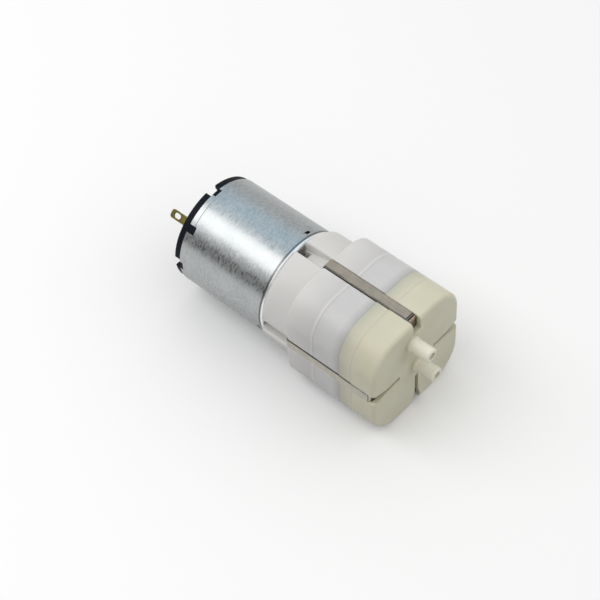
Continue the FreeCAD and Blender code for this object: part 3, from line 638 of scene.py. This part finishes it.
head = {
    "corner": 9.7, "slotFloor": 16.35, "slotWidth": 3.6, "snugWidth": 3.2, "lip": 0.3,
    "edge": 0.06, "coverEdge": 1.2, "ledgeEdge": 0.36, "holderEdge": 0.12,
    "footRadius": 17.0, "footEdge": 1.2, "footLip": 0.8, "lipLean": 3,
    "footSlotFloor": 12.8, "footSlotRise": 2.9, "footSlotWidth": 3.8, "footOverlap": 0.6,
    "hookRoom": 0.8, "hookFloor": 14.0,
    "pocketWidth": 3.0, "pocketLength": 2.6, "pocketFloor": 10.4, "footWall": 1.8, "footFloor": 3.4,
    "wall": 1.7, "ledgeWall": 1.6, "roomInset": 2.9, "bossHole": 4.06, "screwHole": 1.36,
    "chamberRadius": 5.5, "chamberReach": 11.29, "flangeRadius": 6.76, "flangeDepth": 0.8, "webGap": 0.06,
    "domeRadius": 4.1, "domeTop": 1.7, "bulbRadius": 2.4, "bulbDepth": 2.0,
    "valveDepth": 1.3, "valveRadius": 4.7, "valveStem": 0.93, "outletStem": 1.33}
headSlot = {"floor": head["slotFloor"], "width": head["slotWidth"], "lip": head["lip"]}
snugSlot = {"floor": head["slotFloor"], "width": head["snugWidth"], "lip": head["lip"]}


def trueCombine(shape, tool, operation="DIFFERENCE"):
    # rounded first, so that faces meant to share a plane share it exactly after the turns
    for vert in shape.verts[:] + tool.verts[:]:
        vert.co = [round(value, 8) for value in vert.co]
    return combine(shape, tool, operation)


def endEdges(bm, x):
    return [e for e in bm.edges if all(abs(v.co.x - x * mm) < 1e-6 for v in e.verts)]


def slotMesh(bm, start, end, angle):
    # a slot with rounded lips, whose floor rises from the can to the ledge
    floor, wide, radius = head["footSlotFloor"], head["footSlotWidth"] / 2, head["footRadius"]
    corner, reach = math.sqrt(radius ** 2 - wide ** 2), 3
    lean = math.asin(wide / radius) + math.radians(head["lipLean"])  # just inside the round surface
    side = [(floor, wide), (corner, wide), (corner - reach * math.tan(lean), wide + reach),
            (radius + reach, wide + reach)]
    outline = [(out, -across) for out, across in side] + side[::-1]
    verts = [bm.verts.new(around(angle) @ Vector((start, out, across)) * mm) for out, across in outline]
    bm.faces.new(verts)
    bevelEdges(bm, [verts[1], verts[-2]], head["footLip"], 8, "VERTICES")
    low = [v for v in growFace(bm, start, end) if (around(-angle) @ v.co).y < (floor + 0.1) * mm]
    bmesh.ops.translate(bm, verts=low, vec=around(angle) @ Vector((0, head["footSlotRise"] * mm, 0)))
    bmesh.ops.recalc_face_normals(bm, faces=bm.faces)


def footMesh():
    rear, ledge = place["caseRear"], place["ledge"]
    foot = bmesh.new()
    end = ledge + head["footOverlap"]  # it runs on into the square part
    turnedMesh(foot, [(rear, 0, 0), (rear, head["footRadius"], head["footEdge"]),
                      (end, head["footRadius"], 0), (end, 0, 0)], 160, False)
    bmesh.ops.recalc_face_normals(foot, faces=foot.faces)
    slots = bmesh.new()
    for angle in sideAngles.values():
        slotMesh(slots, rear - 1, end + 0.1, angle)
    foot = trueCombine(foot, slots)
    pockets = bmesh.new()
    for angle in sideAngles.values():
        blockMesh(pockets, rear - 1, rear + head["pocketLength"], head["pocketFloor"], 15,
                  head["pocketWidth"], angle)
        blockMesh(pockets, ledge - head["hookRoom"], end + 0.1, head["hookFloor"], 20, head["snugWidth"],
                  angle)
    return trueCombine(foot, pockets)


def makeCase():
    rear, ledge, front = place["caseRear"], place["ledge"], place["caseFront"]
    square = bmesh.new()
    squareMesh(square, ledge, front, headHalf, head["corner"], headSlot)
    bevelEdges(square, endEdges(square, ledge), head["ledgeEdge"], 5)
    bevelEdges(square, endEdges(square, front), head["edge"], 3)
    bm = trueCombine(footMesh(), square, "UNION")
    room = bmesh.new()
    rodMesh(room, rear + head["footFloor"], front + 1, head["footSlotFloor"] - head["footWall"], 0, 0, 96)
    bm = trueCombine(bm, room)
    upper = bmesh.new()
    squareMesh(upper, ledge + head["ledgeWall"], front + 1, headHalf - head["roomInset"],
               head["corner"] - head["wall"])
    bm = trueCombine(bm, upper)
    holes = bmesh.new()
    rodMesh(holes, rear - 1, rear + 5, head["bossHole"], 0, 0, 64)
    for angle in can["screwAngles"]:
        rodMesh(holes, rear - 1, rear + 5, head["screwHole"], can["screwReach"], angle, 32)
    bm = trueCombine(bm, holes)
    finishPiece("caseMoulding", bm, white, ["pump_case"])


def makeHolder():
    rear, front = place["caseFront"], place["holderFront"]
    bm = bmesh.new()
    squareMesh(bm, rear, front, headHalf, head["corner"], headSlot)
    bevelEdges(bm, endEdges(bm, rear), head["holderEdge"], 4)
    bevelEdges(bm, endEdges(bm, front), head["edge"], 3)
    bores = bmesh.new()
    for angle in lobeAngles:
        rodMesh(bores, rear - 1, front + 1, head["chamberRadius"], head["chamberReach"], angle, 64)
    bm = trueCombine(bm, bores)
    seats = bmesh.new()
    rodMesh(seats, front - head["flangeDepth"], front + 1, head["chamberReach"] + head["webGap"], 0, 0, 96)
    bm = trueCombine(bm, seats)
    for angle in lobeAngles:
        seat = bmesh.new()
        rodMesh(seat, front - head["flangeDepth"], front + 1, head["flangeRadius"], head["chamberReach"],
                angle, 64)
        bm = trueCombine(bm, seat)
    centre = bmesh.new()
    rodMesh(centre, rear - 1, rear + head["domeTop"], head["domeRadius"], 0, 0, 48)
    rodMesh(centre, front - head["bulbDepth"], front + 1, head["bulbRadius"], 0, 0, 48)
    bm = trueCombine(bm, centre)
    finishPiece("holderMoulding", bm, milky, ["diaphragm_holder"])


makeCase()
makeHolder()


def makePlate():
    rear, front = place["holderFront"], place["plateFront"]
    bm = bmesh.new()
    squareMesh(bm, rear, front, headHalf, head["corner"], snugSlot)
    bevelEdges(bm, endEdges(bm, rear) + endEdges(bm, front), head["edge"], 3)
    seats = bmesh.new()
    for angle in lobeAngles:
        rodMesh(seats, rear - 1, rear + head["valveDepth"], head["valveRadius"], head["chamberReach"],
                angle, 64)
        rodMesh(seats, front - 1, front + 1, head["valveStem"], head["chamberReach"], angle, 32)
        rodMesh(seats, rear + head["valveDepth"] - 0.5, front - 0.5, head["valveStem"], head["chamberReach"],
                angle, 32)
    rodMesh(seats, rear - 1, front + 1, head["outletStem"], 0, 0, 32)
    bm = trueCombine(bm, seats)
    finishPiece("plateMoulding", bm, ivory, ["valve_plate"])


cover = {
    "grooveDepth": 2.0, "grooveWidth": 3.2,
    "grooveEnds": {"right": 6.8, "top": 12.9, "left": 6.8, "bottom": 5.5},
    "legEnd": 9.3, "legRoom": 0.66, "mouthWidth": 1.4, "mouthDepth": 1.9,
    "flareDepth": 1.7, "flare": (12.4, 15.4),
    "galleryInner": 9.7, "galleryOuter": 13.2, "chamber": 8.8, "cavity": 3.2,
    "rootRadius": 2.4, "rootHeight": 0.9, "rootCone": 0.5, "radius": 2.1, "tipRound": 0.6, "bore": 1.1,
    "soften": 0.12, "boreEdge": 0.15, "inlet": (-2.2, 10.5)}


def nozzleMesh(across, up):
    face, tip = place["coverFront"], place["tipFront"]
    shoulder = face + cover["rootHeight"]
    bm = bmesh.new()
    turnedMesh(bm, [
        (face - 1.5, cover["bore"], 0), (face - 1.5, cover["rootRadius"], 0),
        (shoulder, cover["rootRadius"], cover["soften"]),
        (shoulder + cover["rootCone"], cover["radius"], cover["soften"]),
        (tip, cover["radius"], cover["tipRound"]), (tip, cover["bore"], cover["boreEdge"])], 72)
    bmesh.ops.recalc_face_normals(bm, faces=bm.faces)
    bmesh.ops.translate(bm, verts=bm.verts, vec=Vector((0, across, up)) * mm)
    return bm


def grooveMesh(cuts, side, angle):
    front, depth, width = place["coverFront"], cover["grooveDepth"], cover["grooveWidth"]
    end, out = cover["grooveEnds"][side], headHalf + 1
    if side == "top":  # the short leg's groove is open all along
        blockMesh(cuts, front - depth, front + 1, end, out, width, angle)
        return
    # a pocket under the face for the clip's leg, with a narrow mouth that flares out to the rim
    narrow, wide = cover["flare"]
    blockMesh(cuts, front - depth, front - depth + cover["legRoom"], cover["legEnd"], out, width, angle)
    blockMesh(cuts, front - cover["mouthDepth"], front + 1, end, out, cover["mouthWidth"], angle)
    blockMesh(cuts, front - cover["flareDepth"], front + 1, wide, out, width, angle)
    taper = blockMesh(cuts, front - cover["flareDepth"] + 0.1, front + 1, narrow, wide + 0.1, width)
    for vert in taper:
        if vert.co.y < (narrow + 0.1) * mm:
            vert.co.z *= (cover["mouthWidth"] - 0.02) / width
    bmesh.ops.transform(cuts, matrix=around(angle), verts=taper)


def makeCover():
    rear, front = place["plateFront"], place["coverFront"]
    bm = bmesh.new()
    squareMesh(bm, rear, front, headHalf, head["corner"])
    bevelEdges(bm, endEdges(bm, front), head["coverEdge"], 10)
    bevelEdges(bm, endEdges(bm, rear), head["edge"], 3)
    cuts = bmesh.new()
    for side, angle in sideAngles.items():
        blockMesh(cuts, rear - 1, front + 1, head["slotFloor"], headHalf + 1, head["snugWidth"], angle)
    bm = trueCombine(bm, cuts)
    cuts = bmesh.new()
    for side, angle in sideAngles.items():
        grooveMesh(cuts, side, angle)
    bm = trueCombine(bm, cuts)
    bm = trueCombine(bm, nozzleMesh(0, 0), "UNION")
    bm = trueCombine(bm, nozzleMesh(*cover["inlet"]), "UNION")
    rooms = bmesh.new()
    rodMesh(rooms, rear - 1, rear + cover["cavity"], cover["chamber"], 0, 0, 96)
    rodMesh(rooms, rear + 0.5, front - 0.5, cover["bore"], 0, 0, 72)
    bm = trueCombine(bm, rooms)
    gallery = bmesh.new()
    inner, outer, floor = cover["galleryInner"], cover["galleryOuter"], rear + cover["cavity"]
    turnedMesh(gallery, [
        (rear - 1, inner, 0), (floor, inner, 0), (floor, outer, 0), (rear - 1, outer, 0)], 96)
    bmesh.ops.recalc_face_normals(gallery, faces=gallery.faces)
    bm = trueCombine(bm, gallery)
    finishPiece("coverMoulding", bm, ivory, ["head_cover"])


makePlate()
makeCover()


clip = {
    "width": 3.0, "thickness": 0.6, "outer": 17.05, "rearBend": 0.75, "bend": 1.3,
    "hook": 2.8, "leg": 7.45, "shortLeg": 4.0, "edge": 0.08, "endCorner": 0.3}


def makeClip(side, angle):
    rear, front = place["clipRear"], place["clipFront"]
    rearBend, bend, outer, thickness = clip["rearBend"], clip["bend"], clip["outer"], clip["thickness"]
    leg = clip["shortLeg"] if side == "top" else clip["leg"]
    bm = bmesh.new()
    bladeMesh(bm, (rear + thickness / 2, outer - clip["hook"], 0), (thickness, clip["width"]), [
        ("run", (0, clip["hook"] - rearBend, 0), None),
        ("bend", -90, (rear + rearBend, outer - rearBend, 0)),
        ("run", (front - rear - rearBend - bend, 0, 0), None),
        ("bend", -90, (front - bend, outer - bend, 0)),
        ("run", (0, bend - leg, 0), None)])
    ends = [e for e in bm.edges if abs(e.verts[0].co.x - e.verts[1].co.x) > thickness * 0.9 * mm
            and abs(e.verts[0].co.x - e.verts[1].co.x) < thickness * 1.1 * mm
            and min(v.co.y for v in e.verts) < (outer - bend - 0.1) * mm
            and abs(e.verts[0].co.y - e.verts[1].co.y) < 1e-6]
    bevelEdges(bm, ends, clip["endCorner"], 5)
    bevelEdges(bm, sharpEdges(bm, 50), clip["edge"], 3)
    bmesh.ops.transform(bm, matrix=around(angle), verts=bm.verts)
    # the steel copy coloured for the light on the top clip, or the one coloured for the side clips
    look = nickelTopAsLit if side == "top" else nickelSidesAsLit
    finishPiece("springClip" + side.capitalize(), bm, look, ["clip_" + side])


for side, angle in sideAngles.items():
    makeClip(side, angle)


studio = {
    "cameraPlace": (0.2381, -0.2288, 0.3990), "cameraAim": (0.0219, -0.00765, 0.00615), "cameraRoll": -3.5,
    "lens": 114.3,
    "floorSize": 6.0, "floorColour": (1.0, 1.0, 1.0), "floorBounce": (0.45, 0.45, 0.45),
    "keyDirection": (-0.43, -0.39, 0.81), "keyDistance": 0.75, "keyWidth": 0.42, "keyLength": 0.95,
    "keyLevel": 1.6,
    "topLevel": 0.63, "sideLevel": 0.26, "rightLevel": 0.36, "frontLevel": 0.22,
    "glossLevel": 0.97, "rightGloss": 0.74, "flagLevel": 0.1, "blueTint": (0.79, 0.965, 1.085)}


def makeCamera():
    data = bpy.data.cameras.new("viewCamera")
    camera = bpy.data.objects.new("viewCamera", data)
    bpy.context.scene.collection.objects.link(camera)
    data.lens = studio["lens"]
    data.sensor_width = 36
    data.clip_start, data.clip_end = 0.01, 20
    towards = Vector(studio["cameraAim"]) - Vector(studio["cameraPlace"])
    turn = towards.to_track_quat("-Z", "Y").to_matrix().to_4x4()
    roll = Matrix.Rotation(math.radians(studio["cameraRoll"]), 4, "Z")
    camera.matrix_world = Matrix.Translation(studio["cameraPlace"]) @ turn @ roll
    bpy.context.scene.camera = camera


def makeFloor():
    bm = bmesh.new()
    bmesh.ops.create_grid(bm, x_segments=2, y_segments=2, size=studio["floorSize"] / 2)
    bmesh.ops.translate(bm, verts=bm.verts, vec=(0, 0, cadBounds[0][2]))
    floor = meshObject("floorSheet", bm)
    finish = Finish("paleFloor")
    path = finish.nodes.new("ShaderNodeLightPath")
    plain = finish.maths(path.outputs["Is Camera Ray"], path.outputs["Is Glossy Ray"], "MAXIMUM")
    plain = finish.maths(plain, path.outputs["Is Transmission Ray"], "MAXIMUM")
    finish.set("Base Color", finish.mix(plain, studio["floorBounce"], studio["floorColour"]))
    finish.set("Roughness", 0.9)
    finish.set("Specular IOR Level", 0.0)
    floor.data.materials.append(finish.material)


def makeKey():
    data = bpy.data.lights.new("keySoftbox", "AREA")
    key = bpy.data.objects.new("keySoftbox", data)
    bpy.context.scene.collection.objects.link(key)
    data.shape, data.size, data.size_y = "RECTANGLE", studio["keyWidth"], studio["keyLength"]
    data.energy = studio["keyLevel"] * math.pi * studio["keyWidth"] * studio["keyLength"]
    out = Vector(studio["keyDirection"]).normalized()
    across = alongX.cross(out).normalized()  # the width goes round the pump's axis
    turn = Matrix((across, out.cross(across), out)).transposed().to_4x4()
    key.matrix_world = Matrix.Translation(out * studio["keyDistance"]) @ turn
    key.visible_camera = False


def makeWorld():
    world = bpy.data.worlds.new("studioRoom")
    bpy.context.scene.world = world
    world.use_nodes = True
    sky = NodeTools(world.node_tree)
    parts = sky.nodes.new("ShaderNodeSeparateXYZ")
    sky.links.new(sky.nodes.new("ShaderNodeTexCoord").outputs["Generated"], parts.inputs["Vector"])
    x, y, z = (parts.outputs[key] for key in "XYZ")
    path = sky.nodes.new("ShaderNodeLightPath")

    def fade(value, start, end, low=0, high=1):
        return sky.remap(value, low, high, start, end, "SMOOTHSTEP")

    def grey(level):
        return (studio[level],) * 3

    # soft light: brighter overhead, over the right side and beyond the nozzles
    light = fade(z, 0.0, 0.6, studio["sideLevel"], studio["topLevel"])
    right = sky.maths(fade(y, -0.1, 0.6, 0, studio["rightLevel"]), fade(z, 0.0, 0.5))
    front = sky.maths(fade(x, 0.2, 0.8, 0, studio["frontLevel"]), fade(z, -0.1, 0.1))
    light = sky.maths(sky.maths(light, right, "ADD"), front, "ADD")
    # mirrored: a dark flag low on the left, a dimmer right side, and a sky a little blue above it
    flag = sky.maths(fade(z, 0.28, 0.58, 1, 0), fade(y, -0.8, -0.6, 1, 0))
    blue = sky.maths(fade(z, 0.35, 0.7), fade(y, -0.15, 0.25))
    gloss = sky.mix(fade(y, 0.3, 0.8), grey("glossLevel"), grey("rightGloss"))
    gloss = sky.mix(blue, gloss, studio["blueTint"])
    gloss = sky.mix(flag, gloss, grey("flagLevel"))
    seen = sky.maths(path.outputs["Is Glossy Ray"], path.outputs["Is Transmission Ray"], "MAXIMUM")
    light = sky.mix(seen, light, gloss)
    light = sky.mix(path.outputs["Is Camera Ray"], light, (1, 1, 1))
    sky.links.new(light, sky.nodes["Background"].inputs["Color"])


makeCamera()
makeFloor()
makeKey()
makeWorld()
bpy.context.scene.view_settings.view_transform = "Standard"
print("studio made")
